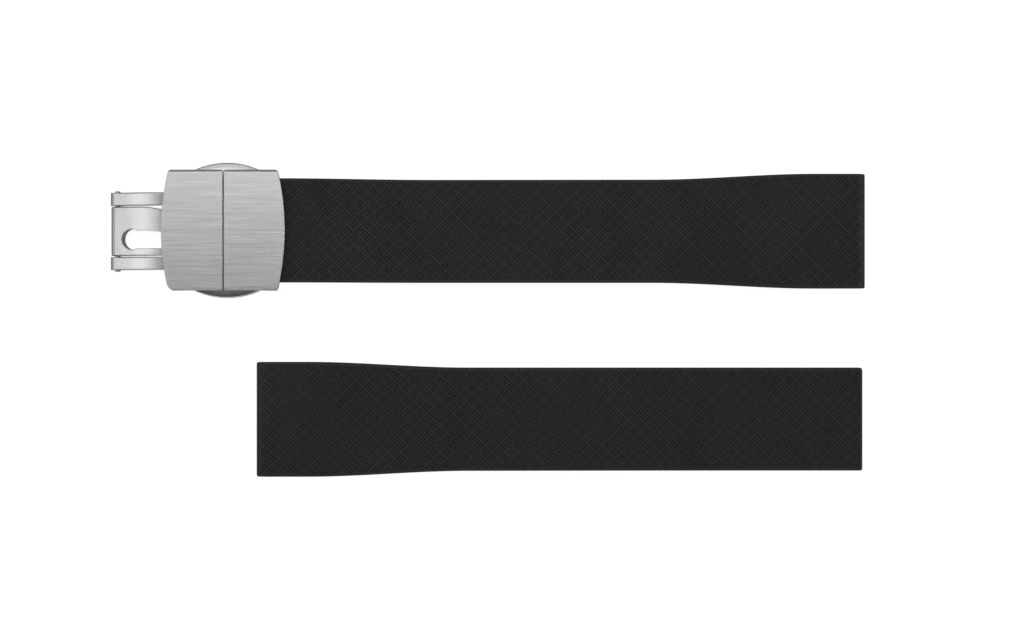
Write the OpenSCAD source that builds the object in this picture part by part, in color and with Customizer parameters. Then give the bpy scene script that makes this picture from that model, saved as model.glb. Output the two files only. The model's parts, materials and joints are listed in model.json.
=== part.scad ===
// Rubber watch strap: two straps of one length and a push-button butterfly clasp.
// The upper strap is closed into the clasp's right half, and the lower strap lies by itself.
// +X runs from the clasp to the watch end, +Y away from the viewer, +Z up from the table.

/* [Straps] */
// Length of each strap along its middle
strap_len = 106; // [80:1:125]
// Width at the watch lugs
lug_w = 20; // [19:0.5:24]
// How much narrower the strap is where the clasp takes it
clasp_step = 2; // [1:0.25:3]
// Thickness at the watch lugs
lug_t = 4; // [3.4:0.1:5]
// Thickness at the clasp end
clasp_t = 2.7; // [2.5:0.1:3.2]
// Length that keeps the full lug width
full_len = 9; // [4:1:20]
// Length over which the width narrows
taper_len = 28; // [15:1:45]
// Bore for the watch's spring bar
lug_bore_d = 1.9; // [1.6:0.1:2.2]
// Bore axis to the lug end
lug_bore_inset = 2.1; // [1.8:0.1:3]
// Bore for the clasp's spring bar
bar_bore_d = 1.7; // [1.6:0.05:1.8]
// Bore axis to the clasp end
bar_inset = 1.9; // [1.5:0.1:2.5]
// Radius of the plan corners
strap_corner_r = 0.4; // [0.2:0.1:1.5]
// Straight run behind the clasp before the strap bends down
bend_start = 3.4; // [3:0.2:6]
// Run in which the strap comes down to the table
bend_len = 26.5; // [24:0.5:40]
// Distance between the middles of the two straps
strap_spacing = 32.85; // [28:0.25:45]
// Lower strap's clasp end, back from the upper strap's lug end
lower_end_back = 0.45; // [0:0.05:10]

/* [Base and wings] */
// Distance between the two hinge axes
hinge_span = 38.8; // [36:0.2:44]
// Rise of the arch over the hinge axes
arch_rise = 3.5; // [2.8:0.1:4.5]
// Width of the base blade
blade_w = 8.6; // [8:0.1:9.4]
// Thickness of the base blade
blade_t = 0.9; // [0.7:0.05:1.1]
// Depth of the relief in the blade's edge
relief_depth = 0.45; // [0.2:0.05:0.8]
// Radius of the keyhole's round end
keyhole_r = 1.8; // [1.6:0.05:2]
// Width of the keyhole's slot
keyhole_slot_w = 3.15; // [2.4:0.05:3.2]
// Keyhole's middle, off the blade's middle
keyhole_offset = 1.4; // [0.8:0.05:1.6]
// Round end's centre, in from the hinge axis
keyhole_inset = 2.95; // [2.8:0.05:4]
// Slot's inner end from the clasp's middle
keyhole_end = 9; // [8:0.1:12]
// How much narrower the slot gets beside the relief
slot_narrowing = 0.3; // [0.05:0.05:0.5]
// Width of one wing arm
arm_w = 2.3; // [1.9:0.05:2.5]
// Thickness of the wing arms
arm_t = 0.9; // [0.7:0.05:1.1]
// Diameter of the wing arms' round ends
arm_end_d = 2.4; // [2.3:0.05:3]
// Diameter of the blade's knuckles
knuckle_d = 2.2; // [2:0.05:2.4]
// Diameter of the hinge pins
hinge_pin_d = 1; // [0.8:0.05:1.1]
// How far the hinge pins stand out
pin_proud = 0.3; // [0.1:0.05:0.5]
// Rounding of the hinge pins' ends
pin_round = 0.2; // [0.05:0.05:0.3]
// Diameter of the wing's cross barrel
barrel_d = 1.9; // [1.8:0.05:2]
// Cross barrel's axis from the clasp's middle
barrel_x = 4.4; // [4.3:0.05:4.8]
// Diameter of the cover pins
cover_pin_d = 1; // [0.8:0.05:1.1]

/* [Covers] */
// Thickness of the cover plates
cover_t = 1; // [0.8:0.05:1.4]
// Length of both covers together
covers_len = 21.35; // [20.8:0.05:24]
// Covers' middle from the clasp's middle
covers_shift = -0.05; // [-0.4:0.05:0.2]
// Line where the covers meet
split_x = 0; // [-0.6:0.05:0.6]
// Gap between the covers
seam = 0.2; // [0.1:0.05:0.3]
// Radius of the covers' corners at their seam
seam_corner_r = 0.25; // [0.1:0.05:0.5]
// Bow of the covers' outer ends
cover_bow = 1.26; // [0.6:0.05:1.4]
// Chamfer along the covers' sides
cover_chamfer = 0.35; // [0.1:0.05:0.6]
// Radius of the covers' outer corners
cover_corner_r = 0.5; // [0.2:0.1:1]
// Radius of the outer corner at the left cover's front
cover_front_corner_r = 1.1; // [0.2:0.1:2]
// Thickness of the ears that hold a spring bar
ear_t = 1.17; // [0.9:0.01:1.3]
// Wall of an ear around a bar's tip
ear_wall = 0.6; // [0.5:0.05:0.7]
// Thickness of the lugs on the cover pin
lug_plate_t = 1.4; // [1.2:0.05:1.5]
// Thickness of the catch tongues
tongue_t = 0.5; // [0.4:0.05:0.6]

/* [Pushers] */
// Radius of the pusher heads' arc
head_r = 13.4; // [10:0.1:14]
// How far a head stands out of the covers
head_proud = 1.28; // [1:0.02:1.8]
// Height of a head
head_h = 2; // [1.6:0.05:2.2]
// Width of a head's inner part
head_w = 11; // [10.6:0.1:11.2]
// Heads' middle from the clasp's middle
head_shift = 0.45; // [-0.5:0.05:0.5]
// How far a pusher travels
push_travel = 0.8; // [0.5:0.05:0.9]
// Depth of the claw bar, in the direction of travel
claw_t = 0.85; // [0.82:0.01:0.9]
// Slope of a head's top towards its rim, in degrees
head_slope = 10; // [4:1:14]
// Rounding of a head's rim
head_round = 0.3; // [0.1:0.05:0.5]
// Width of the pusher's stem
stem_w = 2.4; // [2:0.05:2.6]
// Height of the pusher's stem
stem_h = 1.2; // [1:0.05:1.3]
// Diameter of the stop pins
stop_pin_d = 0.6; // [0.5:0.05:0.7]
// Stop pins from the clasp's middle
stop_pin_y = 4.7; // [4.3:0.05:5]
// Length of the pusher spring
push_spring_len = 6.2; // [5:0.1:6.6]
// Wire of the pusher spring
push_wire_d = 0.24; // [0.2:0.02:0.28]
// Turns of the pusher spring
push_turns = 7; // [5:1:8]

/* [Housing] */
// Width of the pusher housing along the strap
housing_w = 4.6; // [4.2:0.05:4.6]
// Length of the pusher housing across the strap
housing_len = 13; // [12:0.1:13.2]
// Floor of the housing
housing_floor_t = 0.6; // [0.5:0.05:0.8]
// Roof of the housing
housing_roof_t = 0.5; // [0.4:0.05:0.6]
// Width of the housing's foot beside the wall
foot_w = 0.95; // [0.9:0.01:1]
// Thickness of the foot
foot_t = 0.45; // [0.35:0.05:0.5]
// Diameter of the rivets
rivet_d = 0.6; // [0.5:0.02:0.62]
// Diameter of the rivet heads
rivet_head_d = 0.84; // [0.74:0.02:0.86]
// Thickness of the rivet heads
rivet_head_t = 0.2; // [0.1:0.02:0.24]
// Rivets, in from the blade's edge
rivet_inset = 1.1; // [0.9:0.05:1.6]

/* [Spring bars] */
// Outer diameter of a bar's tube
tube_d = 1.5; // [1.4:0.02:1.54]
// Inner diameter of a bar's tube
tube_inner_d = 1.2; // [1.14:0.02:1.24]
// Diameter of a bar's tips
tip_d = 0.9; // [0.8:0.02:0.94]
// Diameter of the tips' inner flange
tip_flange_d = 1.08; // [1:0.02:1.1]
// Length of the tips' inner flange
tip_flange_len = 0.55; // [0.4:0.05:0.8]
// Tube's end, in from the strap's side
tube_inset = 0.4; // [0.2:0.05:0.8]
// Wire of a bar's spring
bar_wire_d = 0.2; // [0.16:0.02:0.22]
// Turns of a bar's spring
bar_turns = 15; // [10:1:18]
// How far a tip goes in
tip_travel = 0.95; // [0.9:0.01:1.1]

/* [Fits] */
// Running clearance around pins
run_clear = 0.05; // [0.02:0.01:0.08]
// Side gap between blade, arms and cover lugs
side_gap = 0.17; // [0.1:0.01:0.25]
// Gap from the strap's side to an ear
strap_side_gap = 0.25; // [0.15:0.05:0.4]
// Gap from the strap's end to the cross barrel
strap_end_gap = 0.75; // [0.7:0.05:1]
// Gap under the strap's end
strap_under_gap = 0.2; // [0.15:0.01:0.5]
// Gap over the strap's end
strap_over_gap = 0.25; // [0.2:0.01:0.5]
// Gap from a claw to a catch tongue
claw_gap = 0.05; // [0.04:0.01:0.1]

/* [Hidden] */
$fn = 96;
ARCH_FN = 256;
RUBBER = [0.16, 0.165, 0.17];
STEEL = [0.74, 0.74, 0.75];
DARK_STEEL = [0.52, 0.52, 0.54];
OVER = 1;        // how far a cut runs past the solid that it cuts
SINK = 0.1;      // how far joined solids run into each other
TINY = 0.01;     // a skin of air between faces that would only touch along a line

// The arch passes through both hinge axes, which lie one arm-end radius above the table.
hinge_x = hinge_span / 2;
arm_end_r = arm_end_d / 2;
knuckle_r = knuckle_d / 2;
hinge_z = arm_end_r;
arch_r = (pow(hinge_x, 2) + pow(arch_rise, 2)) / (2 * arch_rise);
arch_cz = hinge_z + arch_rise - arch_r;
function arch_mid(x) = arch_cz + sqrt(pow(arch_r, 2) - x * x);

// The bands thicken towards their hinges, so that their tops run into the eyes without a step:
// the arc over a band t thick comes down EYE_SINK deep in its eye of radius r.
EYE_SINK = 0.005;
function apex_z(t) = arch_mid(0) + t / 2;
function top_cz(t, r) = let (drop = apex_z(t) - r + EYE_SINK)
  (pow(drop, 2) - pow(hinge_x, 2) - pow(hinge_z, 2)) / (2 * (drop - hinge_z));
function band_top(t, r, x) = top_cz(t, r) + sqrt(pow(apex_z(t) - top_cz(t, r), 2) - x * x);
function eye_meet_x(t, r) = let (eye = r - EYE_SINK)
  hinge_x * (1 + eye / (apex_z(t) - eye - top_cz(t, r)));

// Across the clasp, from its middle outwards
clasp_w = lug_w - clasp_step;
blade_half = blade_w / 2;
arm_in = blade_half + side_gap;
arm_out = arm_in + arm_w;
lug_in = arm_out + side_gap;
lug_out = lug_in + lug_plate_t;
strap_half = clasp_w / 2;
ear_in = strap_half + strap_side_gap;
cover_half = ear_in + ear_t;
apex_y = cover_half + head_proud;

// Upwards, from the blade to the covers' tops
blade_top = apex_z(blade_t);
barrel_r = barrel_d / 2;
barrel_z = band_top(blade_t, knuckle_r, barrel_x - barrel_r) + run_clear + barrel_r;
strap_end_x = barrel_x + barrel_r + strap_end_gap;
bar_x = strap_end_x + bar_inset;
bar_z = band_top(arm_t, arm_end_r, strap_end_x) + strap_under_gap + clasp_t / 2;
cover_z = bar_z + clasp_t / 2 + strap_over_gap;
cover_top = cover_z + cover_t;

// Pushers and their housing
housing_half = housing_len / 2;
stem_z = blade_top + housing_floor_t + run_clear;
roof_z = stem_z + stem_h + run_clear;
housing_top = roof_z + housing_roof_t;
head_z = housing_top - head_h;
head_in = lug_out + push_travel + 2 * run_clear;
head_cy = apex_y - head_r;
claw_in = housing_half + push_travel + 2 * run_clear;
claw_out = claw_in + claw_t;
tongue_in = claw_out - push_travel + run_clear;
tongue_x = housing_w / 2 + 2 * run_clear;
push_spring_end = push_spring_len / 2;
stem_in = push_spring_end + run_clear;
rivet_x = housing_w / 2 + rivet_head_d / 2 + run_clear;
rivet_y = blade_half - rivet_inset;

// Spring bars
bar_hole_r = tip_d / 2 + run_clear;
ear_r = bar_hole_r + ear_wall;
tube_half = strap_half - tube_inset;
tube_wall = (tube_d - tube_inner_d) / 2;
flange_out = tube_half - 2 * tube_wall - run_clear;
flange_in = flange_out - tip_flange_len;
tip_out = cover_half - pin_proud;
bar_spring_end = flange_in - run_clear;

// Along the object, from the arm ends at the left to the upper strap's lug end
bend_rise = bar_z - clasp_t / 2;
bend_take_up = pow(bend_rise * PI, 2) / (16 * bend_len);
upper_len = strap_len - bend_take_up;
total_len = hinge_x + arm_end_r + strap_end_x + upper_len;
clasp_x = hinge_x + arm_end_r - total_len / 2;
total_w = apex_y + strap_spacing + lug_w / 2;
clasp_y = total_w / 2 - apex_y;
lower_y = clasp_y - strap_spacing;
lower_x = total_len / 2 - lower_end_back;

// Puts its children in the clasp's own frame, with the origin on the table below its middle.
module at_clasp() {
  translate([clasp_x, clasp_y, 0]) children();
}

// Draws the left-hand copy of what is modelled at the right.
module at_left() {
  at_clasp() mirror([1, 0, 0]) children();
}

// Draws the front copy of what is modelled at the back.
module at_front() {
  at_clasp() mirror([0, 1, 0]) children();
}

// A round bar along Y, given by its axis in x and z.
module bar_y(r, x, z, y_from, y_to) {
  translate([x, y_to, z]) rotate([90, 0, 0]) cylinder(r = r, h = y_to - y_from);
}

// A round bar along Y whose ends are rounded by e.
END_STEP = 22.5;
module rounded_bar_y(r, e, x, z, y_from, y_to) {
  len = y_to - y_from;
  translate([x, y_to, z]) rotate([90, 0, 0]) rotate_extrude() polygon(concat(
    [[0, 0]],
    [for (a = [-90:END_STEP:0]) [r - e + e * cos(a), e + e * sin(a)]],
    [for (a = [0:END_STEP:90]) [r - e + e * cos(a), len - e + e * sin(a)]],
    [[0, len]]
  ));
}

// A box from one corner to the opposite one.
module box(from, to) {
  translate(from) cube(to - from);
}

// An outline in x and z, drawn out along Y.
module slab_y(points, y_from, y_to) {
  translate([0, y_to, 0]) rotate([90, 0, 0])
    linear_extrude(height = y_to - y_from) polygon(points);
}

// A band of the arch, t thick at the clasp's middle, between two places along X. Its top touches
// eyes of radius r.
module arch_band(t, r, x_from, x_to, y_from, y_to) {
  cz = top_cz(t, r);
  intersection() {
    difference() {
      bar_y(apex_z(t) - cz, 0, cz, y_from, y_to, $fn = ARCH_FN);
      bar_y(arch_r - t / 2, 0, arch_cz, y_from - OVER, y_to + OVER, $fn = ARCH_FN);
    }
    box([x_from, y_from - OVER, 0], [x_to, y_to + OVER, apex_z(t) + OVER]);
  }
}

// Straps: s runs from the clasp end, 0, to the lug end, len
CLASP_END_R = 0.5;       // rounding of the clasp end, seen from the side
THICK_FROM = 15;         // where the strap starts to thicken towards the lugs
ARC_STEP = 15;           // angle between the points of a rounded corner
BEND_STEPS = 24;
WIDTH_STEPS = 20;
THICK_STEPS = 8;
function unit(v) = min(1, max(0, v));
function ease(v) = let (u = unit(v)) u * u * (3 - 2 * u);
function under(s, rise) = rise * (1 + cos(180 * unit((s - bend_start) / bend_len))) / 2;
function thick(s, len) = clasp_t
  + (lug_t - clasp_t) * ease((s - THICK_FROM) / (len - THICK_FROM - lug_t / 2));
function half_width(s, len) = lug_w / 2
  - (lug_w - clasp_w) / 2 * ease((len - s - full_len) / taper_len);

// Stations along the strap at which the side outline has a point
function stations(len, rise) = concat(
  rise > 0 ? [for (i = [0:BEND_STEPS]) bend_start + i * bend_len / BEND_STEPS] : [THICK_FROM],
  [for (i = [1:THICK_STEPS])
    let (s0 = max(THICK_FROM, bend_start + bend_len))
    s0 + i * (len - lug_t / 2 - s0) / THICK_STEPS]
);

function strap_side(len, rise) = let (st = stations(len, rise), e = CLASP_END_R, n = lug_t / 2)
  concat(
    [for (a = [0:ARC_STEP:90]) [e - e * cos(a), under(0, rise) + e - e * sin(a)]],
    [for (s = st) [s, under(s, rise)]],
    [for (a = [-90 + ARC_STEP:ARC_STEP:90 - ARC_STEP]) [len - n + n * cos(a), n + n * sin(a)]],
    [for (i = [len(st) - 1:-1:0]) [st[i], under(st[i], rise) + thick(st[i], len)]],
    [for (a = [90:-ARC_STEP:0]) [e - e * cos(a), under(0, rise) + clasp_t - e + e * sin(a)]]
  );

function strap_edge(len) = let (r = strap_corner_r, half = half_width(len, len)) concat(
  [for (a = [0:ARC_STEP:90]) [r - r * cos(a), clasp_w / 2 - r + r * sin(a)]],
  [for (i = [0:WIDTH_STEPS])
    let (s = len - full_len - taper_len + i * taper_len / WIDTH_STEPS) [s, half_width(s, len)]],
  [for (a = [90:-ARC_STEP:0]) [len - r + r * cos(a), half - r + r * sin(a)]]
);

module strap(len, rise) {
  edge = strap_edge(len);
  outline = concat(edge, [for (i = [len(edge) - 1:-1:0]) [edge[i][0], -edge[i][1]]]);
  color(RUBBER) difference() {
    intersection() {
      linear_extrude(height = rise + lug_t + OVER) polygon(outline);
      slab_y(strap_side(len, rise), -lug_w, lug_w);
    }
    bar_y(bar_bore_d / 2, bar_inset, rise + clasp_t / 2, -lug_w, lug_w);
    bar_y(lug_bore_d / 2, len - lug_bore_inset, lug_t / 2, -lug_w, lug_w);
  }
}

module upper_strap() {
  at_clasp() translate([strap_end_x, 0, 0]) strap(upper_len, bend_rise);
}

module lower_strap() {
  translate([lower_x, lower_y, 0]) rotate([0, 0, 180]) strap(strap_len, 0);
}

// Base: the arched blade with a knuckle and a keyhole at each end
RELIEF_FROM = 4.8;       // relief in the blade's edge, in from the hinge axis: start,
RELIEF_FULL = 8.6;       // full depth,
RELIEF_END = 13.4;       // end of the full depth,
RELIEF_OUT = 14.4;       // and back at the full width
RELIEF_STEPS = 6;
// The line from the relief's start to its full depth, in from the hinge axis, which draws edge in
function relief_line(edge, depth) = [for (i = [0:RELIEF_STEPS]) let (u = i / RELIEF_STEPS)
  [RELIEF_FROM + u * (RELIEF_FULL - RELIEF_FROM), edge - depth * ease(u)]];

module blade_cuts() {
  kx = -hinge_x + keyhole_inset;
  half = keyhole_slot_w / 2;
  slot_len = -kx - keyhole_end;
  slot_back = [for (p = relief_line(half, slot_narrowing)) [min(p[0] - keyhole_inset, slot_len), p[1]]];
  // the keyhole is square to the blade at its round end
  translate([kx, -keyhole_offset, arch_mid(kx)]) rotate([0, asin(kx / arch_r), 0]) {
    translate([0, 0, -blade_top]) cylinder(r = keyhole_r, h = 2 * blade_top);
    translate([0, 0, -blade_top]) linear_extrude(height = 3 * blade_top) polygon(concat(
      [[0, -half], [0, half]], slot_back,
      [[slot_len + TINY, half - slot_narrowing], [slot_len + TINY, -half]]
    ));
  }
  translate([-hinge_x, 0, -OVER]) linear_extrude(height = blade_top + 2 * OVER) polygon(concat(
    relief_line(blade_half, relief_depth),
    [[RELIEF_END, blade_half - relief_depth], [RELIEF_OUT, blade_half]],
    [[RELIEF_OUT, blade_half + OVER], [RELIEF_FROM, blade_half + OVER]]
  ));
}

module base_bridge() {
  color(STEEL) at_clasp() difference() {
    union() {
      arch_band(blade_t, knuckle_r, -eye_meet_x(blade_t, knuckle_r),
                eye_meet_x(blade_t, knuckle_r), -blade_half, blade_half);
      for (sx = [-1, 1])
        bar_y(knuckle_r, sx * hinge_x, hinge_z, -blade_half, blade_half);
    }
    for (sx = [-1, 1])
      bar_y(hinge_pin_d / 2, sx * hinge_x, hinge_z, -blade_half - OVER, blade_half + OVER);
    for (turn = [0, 180]) rotate([0, 0, turn]) blade_cuts();
    rivet_places() cylinder(d = rivet_d, h = blade_top + OVER);
  }
}

module rivet_places() {
  for (sx = [-1, 1], sy = [-1, 1]) translate([sx * rivet_x, sy * rivet_y, 0]) children();
}

module housing_rivets() {
  under_z = arch_mid(rivet_x + rivet_head_d / 2) - blade_t / 2 - TINY;
  over_z = blade_top + foot_t;
  color(DARK_STEEL) at_clasp() rivet_places() {
    translate([0, 0, under_z - rivet_head_t]) cylinder(d = rivet_head_d, h = rivet_head_t);
    translate([0, 0, under_z - SINK])
      cylinder(d = rivet_d, h = over_z - under_z + 2 * SINK);
    translate([0, 0, over_z]) cylinder(d = rivet_head_d, h = rivet_head_t);
  }
}

// The housing is a square tube for the pushers' stems, on feet that are riveted to the blade.
module pusher_housing() {
  wall = housing_w / 2;
  channel = stem_w / 2 + run_clear;
  foot = wall + foot_w;
  foot_half = blade_half - side_gap;
  blade_cz = top_cz(blade_t, knuckle_r);
  color(STEEL) at_clasp() difference() {
    union() {
      box([-wall, -housing_half, blade_top - SINK], [wall, housing_half, housing_top]);
      box([-foot, -foot_half, blade_top - SINK], [foot, foot_half, blade_top + foot_t]);
    }
    bar_y(blade_top - blade_cz + TINY, 0, blade_cz, -lug_w, lug_w, $fn = ARCH_FN);
    box([-channel, -lug_w, stem_z - run_clear], [channel, lug_w, roof_z]);
    rivet_places() cylinder(d = rivet_d, h = housing_top);
    stop_pin_places() cylinder(d = stop_pin_d, h = housing_top + OVER);
  }
}

module stop_pin_places() {
  for (sy = [-1, 1]) translate([0, sy * stop_pin_y, 0]) children();
}

module pusher_stop_pins() {
  color(DARK_STEEL) at_clasp() stop_pin_places()
    translate([0, 0, blade_top + side_gap])
      cylinder(d = stop_pin_d, h = housing_top - blade_top - side_gap);
}

module hinge_pin() {
  end_y = arm_out + pin_proud;
  color(DARK_STEEL) rounded_bar_y(hinge_pin_d / 2, pin_round, hinge_x, hinge_z, -end_y, end_y);
}
module left_hinge_pin() { at_left() hinge_pin(); }
module right_hinge_pin() { at_clasp() hinge_pin(); }

// Wings: two arms beside the blade, joined by a cross barrel under the cover
module wing() {
  foot_x = strap_end_x - SINK;
  top_z = band_top(arm_t, arm_end_r, foot_x);
  low_z = arch_mid(foot_x) - arm_t / 2;
  ramp = [
    [barrel_x - 0.9 * barrel_r, barrel_z - 0.35 * barrel_r],
    [barrel_x - barrel_r / 2, barrel_z - 1.8 * barrel_r], [foot_x + SINK, low_z],
    [foot_x + SINK, top_z - SINK],
    [foot_x - SINK, top_z], [barrel_x + barrel_r, barrel_z - 0.9 * barrel_r],
    [barrel_x + 0.9 * barrel_r, barrel_z + 0.3 * barrel_r]
  ];
  color(STEEL) difference() {
    union() {
      for (y0 = [-arm_out, arm_in]) {
        arch_band(arm_t, arm_end_r, foot_x - SINK, eye_meet_x(arm_t, arm_end_r),
                  y0, y0 + arm_w);
        bar_y(arm_end_r, hinge_x, hinge_z, y0, y0 + arm_w);
        slab_y(ramp, y0, y0 + arm_w);
      }
      bar_y(barrel_r, barrel_x, barrel_z, -arm_out, arm_out);
    }
    bar_y(hinge_pin_d / 2 + run_clear, hinge_x, hinge_z, -lug_w, lug_w);
    bar_y(cover_pin_d / 2 + run_clear, barrel_x, barrel_z, -lug_w, lug_w);
  }
}
module left_wing() { at_left() wing(); }
module right_wing() { at_clasp() wing(); }

// Covers: bowed plates with lugs, catch tongues and ears on their undersides
BOW_STEPS = 12;
LUG_R = 1;               // round end of the lugs on the cover pin
bow_r = (pow(cover_half, 2) + pow(cover_bow, 2)) / (2 * cover_bow);
function bow(y) = bow_r - sqrt(pow(bow_r, 2) - y * y);

// The cover's outer end from front to back: each point's y and how far it is cut back
function end_points(front_r, back_r) = concat(
  [for (a = [90:-ARC_STEP:ARC_STEP])
    [-cover_half + front_r - front_r * sin(a), front_r - front_r * cos(a)]],
  [for (i = [0:BOW_STEPS])
    [-cover_half + front_r + i * (2 * cover_half - front_r - back_r) / BOW_STEPS, 0]],
  [for (a = [ARC_STEP:ARC_STEP:90])
    [cover_half - back_r + back_r * sin(a), back_r - back_r * cos(a)]]
);

// The cover's corner at the seam, on the back for side 1 and on the front for side -1
function seam_corner(inner, side, a) = let (r = seam_corner_r)
  [inner + r - r * cos(a), side * (cover_half - r + r * sin(a))];

module cover(outer, inner, front_r, back_r) {
  outline = concat(
    [for (a = [0:ARC_STEP:90]) seam_corner(inner, -1, a)],
    [for (p = end_points(front_r, back_r)) [outer - bow(p[0]) - p[1], p[0]]],
    [for (a = [90:-ARC_STEP:0]) seam_corner(inner, 1, a)]
  );
  ch = cover_chamfer;
  side = [
    [-cover_half, cover_z], [cover_half, cover_z], [cover_half, cover_top - ch],
    [cover_half - ch, cover_top], [-cover_half + ch, cover_top], [-cover_half, cover_top - ch]
  ];
  color(STEEL) difference() {
    union() {
      intersection() {
        translate([0, 0, cover_z]) linear_extrude(height = cover_t) polygon(outline);
        rotate([90, 0, 90]) translate([0, 0, -OVER]) linear_extrude(height = outer + 2 * OVER)
          polygon(side);
      }
      for (sy = [-1, 1]) {
        // lug on the cover pin, with the catch tongue beside it
        y_lug = sy > 0 ? [lug_in, lug_out] : [-lug_out, -lug_in];
        y_tongue = sy > 0 ? [tongue_in, lug_out] : [-lug_out, -tongue_in];
        bar_y(LUG_R, barrel_x, barrel_z, y_lug[0], y_lug[1]);
        box([barrel_x - LUG_R + SINK, y_lug[0], barrel_z],
            [barrel_x + LUG_R - SINK, y_lug[1], cover_z + SINK]);
        box([tongue_x, y_tongue[0], barrel_z],
            [tongue_x + tongue_t, y_tongue[1], cover_z + SINK]);
        box([tongue_x, y_tongue[0], roof_z + SINK], [barrel_x, y_tongue[1], cover_z + SINK]);
        // ear for the spring bar's tip
        y_ear = sy > 0 ? [ear_in, cover_half] : [-cover_half, -ear_in];
        bar_y(ear_r, bar_x, bar_z, y_ear[0], y_ear[1]);
        box([bar_x - ear_r + SINK, y_ear[0], bar_z],
            [bar_x + ear_r - SINK, y_ear[1], cover_z + SINK]);
      }
    }
    bar_y(cover_pin_d / 2, barrel_x, barrel_z, -lug_w, lug_w);
    bar_y(bar_hole_r, bar_x, bar_z, -lug_w, lug_w);
  }
}
module left_cover() {
  at_left() cover(covers_len / 2 - covers_shift, seam / 2 - split_x, cover_front_corner_r, cover_corner_r);
}
module right_cover() {
  at_clasp() cover(covers_len / 2 + covers_shift, seam / 2 + split_x, cover_corner_r, cover_corner_r);
}

module cover_pin() {
  color(DARK_STEEL) bar_y(cover_pin_d / 2, barrel_x, barrel_z, -lug_out, lug_out);
}
module left_cover_pin() { at_left() cover_pin(); }
module right_cover_pin() { at_clasp() cover_pin(); }

// Spring bars: a tube, two sprung tips and the spring between them
module bar_tube() {
  inner = tube_half - 2 * tube_wall;
  color(STEEL) difference() {
    bar_y(tube_d / 2, bar_x, bar_z, -tube_half, tube_half);
    bar_y(bar_hole_r, bar_x, bar_z, -lug_w, lug_w);
    bar_y(tube_inner_d / 2, bar_x, bar_z, -inner, inner);
  }
}
module bar_tip() {
  color(DARK_STEEL) union() {
    bar_y(tip_d / 2, bar_x, bar_z, flange_in, tip_out);
    bar_y(tip_flange_d / 2, bar_x, bar_z, flange_in, flange_out);
  }
}
module bar_spring() {
  color(DARK_STEEL) coil_y(bar_x, bar_z, bar_spring_end,
    tube_inner_d / 2 - run_clear - bar_wire_d / 2, bar_wire_d / 2, bar_turns);
}

// Coil springs along Y, as one unbroken tube each
COIL_RINGS = 8;
COIL_SIDES = 6;
function coil_point(i, half, r, turns) = let (a = 360 * i / COIL_RINGS)
  [r * cos(a), -half + 2 * half * i / (turns * COIL_RINGS), r * sin(a)];

// The least distance between one turn and the next
function coil_gap(half, r, wire_r, turns) =
  min([for (i = [0:COIL_RINGS - 1], j = [i + COIL_RINGS - 2:i + COIL_RINGS + 2])
    norm(coil_point(i, half, r, turns) - coil_point(j, half, r, turns))]) - 2 * wire_r;

module coil_y(x, z, end, r, wire_r, turns) {
  half = end - wire_r - TINY;
  n = turns * COIL_RINGS;
  m = COIL_SIDES;
  points = [for (i = [0:n], k = [0:m - 1])
    let (a = 360 * i / COIL_RINGS, b = 360 * k / m, rr = r + wire_r * cos(b),
      c = coil_point(i, half, r, turns))
    [x + rr * cos(a), c[1] + wire_r * sin(b), z + rr * sin(a)]];
  sides = [for (i = [0:n - 1], k = [0:m - 1])
    let (a = i * m + k, b = i * m + (k + 1) % m) each [[a, b, b + m], [a, b + m, a + m]]];
  caps = [for (k = [1:m - 2]) each [[0, k + 1, k], [n * m, n * m + k, n * m + k + 1]]];
  echo(coil_gap_mm = coil_gap(half, r, wire_r, turns));
  polyhedron(points = points, faces = concat(sides, caps), convexity = 10);
}

module left_bar_tube() { at_left() bar_tube(); }
module right_bar_tube() { at_clasp() bar_tube(); }
module left_bar_tip_back() { at_left() bar_tip(); }
module right_bar_tip_back() { at_clasp() bar_tip(); }
module left_bar_tip_front() { at_left() mirror([0, 1, 0]) bar_tip(); }
module right_bar_tip_front() { at_front() bar_tip(); }
module left_bar_spring() { at_left() bar_spring(); }
module right_bar_spring() { at_clasp() bar_spring(); }

// Pushers: an arc-shaped head, a claw bar and a stem that slides in the housing
RIM_STEPS = 6;
// A head's outline from its middle to its rim: its top slopes from inside the covers' sides
function rim_outline() = let (
    r = head_r, e = head_round, slope_from = head_r - head_proud - cover_chamfer,
    // the rim's upper rounding touches the slope
    rim_z = head_h - (r - e - slope_from) * tan(head_slope) - e / cos(head_slope)
  ) concat(
    [[0, 0]],
    [for (a = [-90:ARC_STEP:0]) [r - e + e * cos(a), e + e * sin(a)]],
    [for (i = [0:RIM_STEPS])
      let (a = i * (90 - head_slope) / RIM_STEPS) [r - e + e * cos(a), rim_z + e * sin(a)]],
    [[slope_from, head_h], [0, head_h]]
  );

module pusher() {
  pin_gap = stop_pin_d / 2 + run_clear;
  color(STEEL) difference() {
    union() {
      intersection() {
        translate([head_shift, head_cy, head_z]) rotate_extrude($fn = ARCH_FN) polygon(rim_outline());
        box([head_shift - head_w / 2, head_in, head_z - OVER],
            [head_shift + head_w / 2, apex_y + OVER, head_z + head_h + OVER]);
      }
      box([-stem_w / 2, stem_in, stem_z], [stem_w / 2, head_in + SINK, stem_z + stem_h]);
      box([-tongue_x + claw_gap, claw_in, stem_z], [tongue_x - claw_gap, claw_out, stem_z + stem_h]);
    }
    box([-pin_gap, stop_pin_y - pin_gap, stem_z - OVER],
        [pin_gap, stop_pin_y + pin_gap + push_travel, stem_z + stem_h + OVER]);
  }
}
module back_pusher() { at_clasp() pusher(); }
module front_pusher() { at_front() pusher(); }

module pusher_spring() {
  room = min(stem_w, stem_h) / 2;
  color(DARK_STEEL) at_clasp() coil_y(0, stem_z + stem_h / 2, push_spring_end,
    room - push_wire_d / 2 - run_clear, push_wire_d / 2, push_turns);
}

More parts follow.
